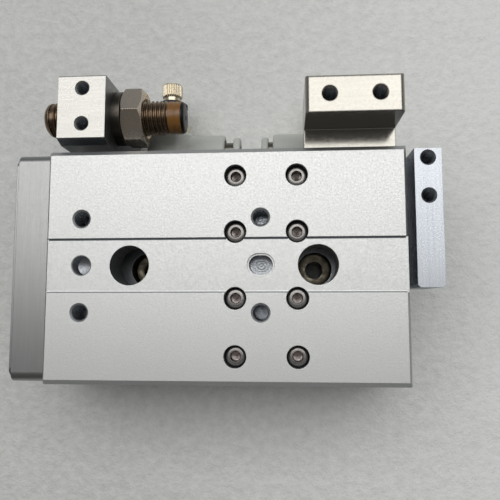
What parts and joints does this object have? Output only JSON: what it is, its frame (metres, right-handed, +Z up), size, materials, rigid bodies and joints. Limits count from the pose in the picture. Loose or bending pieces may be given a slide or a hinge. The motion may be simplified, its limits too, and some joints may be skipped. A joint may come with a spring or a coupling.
{
  "type": "pneumatic slide table",
  "caption": "Compact air slide table: twin-piston cylinder body, linear guides, tapped table with end plate, side stroke adjuster and stopper, rear stop bar, and elbow speed controllers.",
  "frame": {"origin": "midway between the two mounting holes, on the body's bottom face", "axes": "+X is the way the table extends, +Z is up out of the table's top face, and the air ports, the adjuster and its stopper are on the -Y side"},
  "size_m": [0.0915, 0.0737, 0.0395],
  "materials": {
    "satin_nickel": "satin, electroless nickel look",
    "anodised": "matte anodised",
    "rail_steel": "ground",
    "screw_steel": "bright",
    "dark_steel": "dark plated",
    "champagne_brass": "nickel-plated, warm",
    "grey_resin": "moulded",
    "dark_resin": "moulded",
    "seal_rubber": "matte",
    "amber_urethane": "smooth"
  },
  "bodies": {
    "base": {"cylinder_body": "anodised", "guide_rail_port_side": "rail_steel", "guide_rail_plain_side": "rail_steel", "rail_screws": "dark_steel", "rod_covers": "anodised", "rod_cover_rings": "seal_rubber", "rod_seals": "seal_rubber", "head_caps": "anodised", "head_cap_rings": "seal_rubber", "retaining_rings": "dark_steel", "end_bumpers": "seal_rubber", "port_plugs": "dark_steel", "adjuster_bracket": "satin_nickel", "bracket_screws": "screw_steel", "rear_stop_bar": "satin_nickel", "bar_screws": "screw_steel", "port_gaskets": "seal_rubber", "front_flow_stem": "champagne_brass", "rear_flow_stem": "champagne_brass"},
    "table": {"table_plate": "satin_nickel", "end_plate": "satin_nickel", "end_plate_screws": "screw_steel", "rod_end_screws": "screw_steel", "carriage_port_side": "rail_steel", "carriage_plain_side": "rail_steel", "carriage_end_caps": "dark_resin", "carriage_seals": "dark_steel", "bearing_balls": "rail_steel", "carriage_screws": "screw_steel", "stopper_block": "satin_nickel", "stopper_screws": "screw_steel", "piston_rods": "rail_steel", "pistons": "anodised", "piston_seals": "seal_rubber", "piston_magnets": "dark_steel"},
    "adjuster_end": {"adjuster_cushion": "amber_urethane", "adjuster_tip": "screw_steel"},
    "adjuster_screw": {"adjuster_bolt": "dark_steel"},
    "washer": {"lock_washer": "dark_steel"},
    "nut": {"lock_nut": "dark_steel"},
    "front_elbow": {"front_elbow": "grey_resin", "front_collet": "champagne_brass"},
    "front_release": {"front_release_ring": "grey_resin"},
    "front_needle_seal": {"front_needle_ring": "seal_rubber"},
    "front_needle": {"front_needle": "champagne_brass", "front_knob": "champagne_brass"},
    "front_needle_nut": {"front_needle_nut": "dark_steel"},
    "rear_elbow": {"rear_elbow": "grey_resin", "rear_collet": "champagne_brass"},
    "rear_release": {"rear_release_ring": "grey_resin"},
    "rear_needle_seal": {"rear_needle_ring": "seal_rubber"},
    "rear_needle": {"rear_needle": "champagne_brass", "rear_knob": "champagne_brass"},
    "rear_needle_nut": {"rear_needle_nut": "dark_steel"}
  },
  "joints": [
    {"name": "table_slide", "type": "slide", "parent": "base", "child": "table", "axis": [1, 0, 0], "range_m": [0, 0.0272]},
    {"name": "adjuster_travel", "type": "slide", "parent": "base", "child": "adjuster_end", "axis": [1, 0, 0], "range_m": [0, 0.008]},
    {"name": "adjuster_turn", "type": "hinge", "parent": "adjuster_end", "child": "adjuster_screw", "pos_m": [0.02, -0.0352, 0.0225], "axis": [1, 0, 0], "range_deg": [0, 2880]},
    {"name": "washer_travel", "type": "slide", "parent": "base", "child": "washer", "axis": [-1, 0, 0], "range_m": [0, 0.002]},
    {"name": "lock_nut_turn", "type": "hinge", "parent": "washer", "child": "nut", "pos_m": [0.02, -0.0352, 0.0225], "axis": [-1, 0, 0], "range_deg": [0, 720]},
    {"name": "front_elbow_swivel", "type": "hinge", "parent": "base", "child": "front_elbow", "pos_m": [0.0161, -0.0304, 0.0088], "axis": [0, 1, 0], "range_deg": [-12, 12]},
    {"name": "front_release_push", "type": "slide", "parent": "front_elbow", "child": "front_release", "axis": [1, 0, 0], "range_m": [0, 0.002], "stiffness_N_per_m": 300},
    {"name": "front_needle_travel", "type": "slide", "parent": "base", "child": "front_needle_seal", "axis": [0, -1, 0], "range_m": [0, 0.002]},
    {"name": "front_needle_turn", "type": "hinge", "parent": "front_needle_seal", "child": "front_needle", "pos_m": [0.0161, -0.04, 0.0088], "axis": [0, -1, 0], "range_deg": [0, 1440]},
    {"name": "front_needle_nut_turn", "type": "hinge", "parent": "base", "child": "front_needle_nut", "pos_m": [0.0161, -0.04, 0.0088], "axis": [0, -1, 0], "range_deg": [0, 360]},
    {"name": "rear_elbow_swivel", "type": "hinge", "parent": "base", "child": "rear_elbow", "pos_m": [-0.0243, -0.0304, 0.0088], "axis": [0, 1, 0], "range_deg": [-12, 12]},
    {"name": "rear_release_push", "type": "slide", "parent": "rear_elbow", "child": "rear_release", "axis": [-1, 0, 0], "range_m": [0, 0.001], "stiffness_N_per_m": 300},
    {"name": "rear_needle_travel", "type": "slide", "parent": "base", "child": "rear_needle_seal", "axis": [0, -1, 0], "range_m": [0, 0.002]},
    {"name": "rear_needle_turn", "type": "hinge", "parent": "rear_needle_seal", "child": "rear_needle", "pos_m": [-0.0243, -0.04, 0.0088], "axis": [0, -1, 0], "range_deg": [0, 1440]},
    {"name": "rear_needle_nut_turn", "type": "hinge", "parent": "base", "child": "rear_needle_nut", "pos_m": [-0.0243, -0.04, 0.0088], "axis": [0, -1, 0], "range_deg": [0, 360]}
  ],
  "couplings": [
    {"joint": "adjuster_turn", "follows": "adjuster_travel", "rad_per_m": 6283.2},
    {"joint": "lock_nut_turn", "follows": "washer_travel", "rad_per_m": 6283.2},
    {"joint": "front_needle_turn", "follows": "front_needle_travel", "rad_per_m": 12566},
    {"joint": "rear_needle_turn", "follows": "rear_needle_travel", "rad_per_m": 12566}
  ]
}
